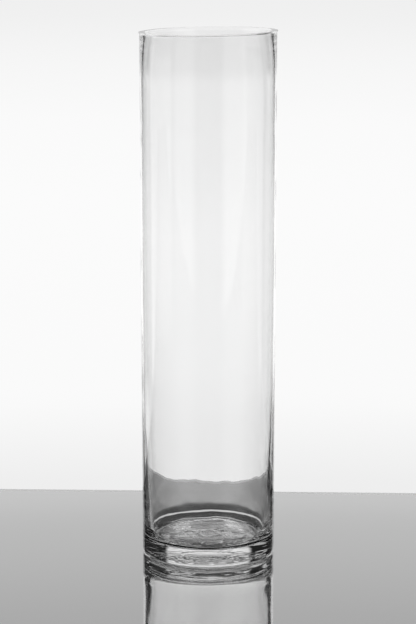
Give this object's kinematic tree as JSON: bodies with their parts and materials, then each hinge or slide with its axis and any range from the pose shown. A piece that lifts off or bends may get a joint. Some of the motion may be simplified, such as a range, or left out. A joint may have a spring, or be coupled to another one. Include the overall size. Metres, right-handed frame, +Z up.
{
  "type": "cylinder vase",
  "caption": "Tall straight-sided vase of clear glass with a heavy base, a rounded inner corner above a flat floor and a slightly flared lip, open at the top.",
  "frame": {"origin": "centre of the foot, on the surface the vase stands on", "axes": "+Z up along the vase's axis, from foot to open rim; X and Y are alike because the vase is round"},
  "size_m": [0.104, 0.104, 0.4],
  "materials": {
    "clear_glass": "clear, colourless soda-lime glass, polished by the flame"
  },
  "bodies": {
    "root": {"heavy_base": "clear_glass", "cylinder_wall": "clear_glass", "rim_lip": "clear_glass"}
  },
  "joints": []
}
